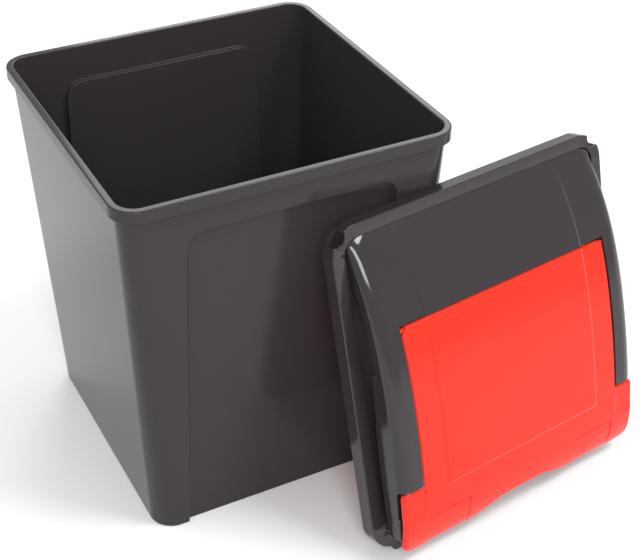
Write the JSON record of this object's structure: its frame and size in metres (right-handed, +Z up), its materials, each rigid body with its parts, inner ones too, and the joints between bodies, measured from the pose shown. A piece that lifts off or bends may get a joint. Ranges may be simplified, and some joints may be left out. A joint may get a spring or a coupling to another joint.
{
  "type": "flip-lid waste bin",
  "caption": "Tapered charcoal plastic waste bin with its arched lid off and leaning against the front wall, and a red flap hinged in the lid.",
  "frame": {"origin": "middle of the tub's underside, on the floor", "axes": "+Z up, +X to the right and -Y to the front, seen from the tub's recessed front wall that the lid leans on"},
  "size_m": [0.4737, 0.4214, 0.35],
  "materials": {
    "tub_plastic": "charcoal, semi-gloss",
    "frame_plastic": "charcoal, glossy",
    "cover_plastic": "charcoal, glossy",
    "flap_plastic": "bright red, glossy"
  },
  "bodies": {
    "tub": {"tub": "tub_plastic"},
    "lid": {"lid_frame": "frame_plastic", "lid_cover": "cover_plastic"},
    "flap": {"flap": "flap_plastic"}
  },
  "joints": [
    {"name": "lid_lift", "type": "slide", "parent": "tub", "child": "lid", "axis": [0, -0.5, 0.866], "range_m": [0, 0.3]},
    {"name": "flap_hinge", "type": "hinge", "parent": "lid", "child": "flap", "pos_m": [0.17009, -0.20115, 0.22075], "axis": [-0.9888, -0.1495, 0], "range_deg": [0, 90]}
  ]
}
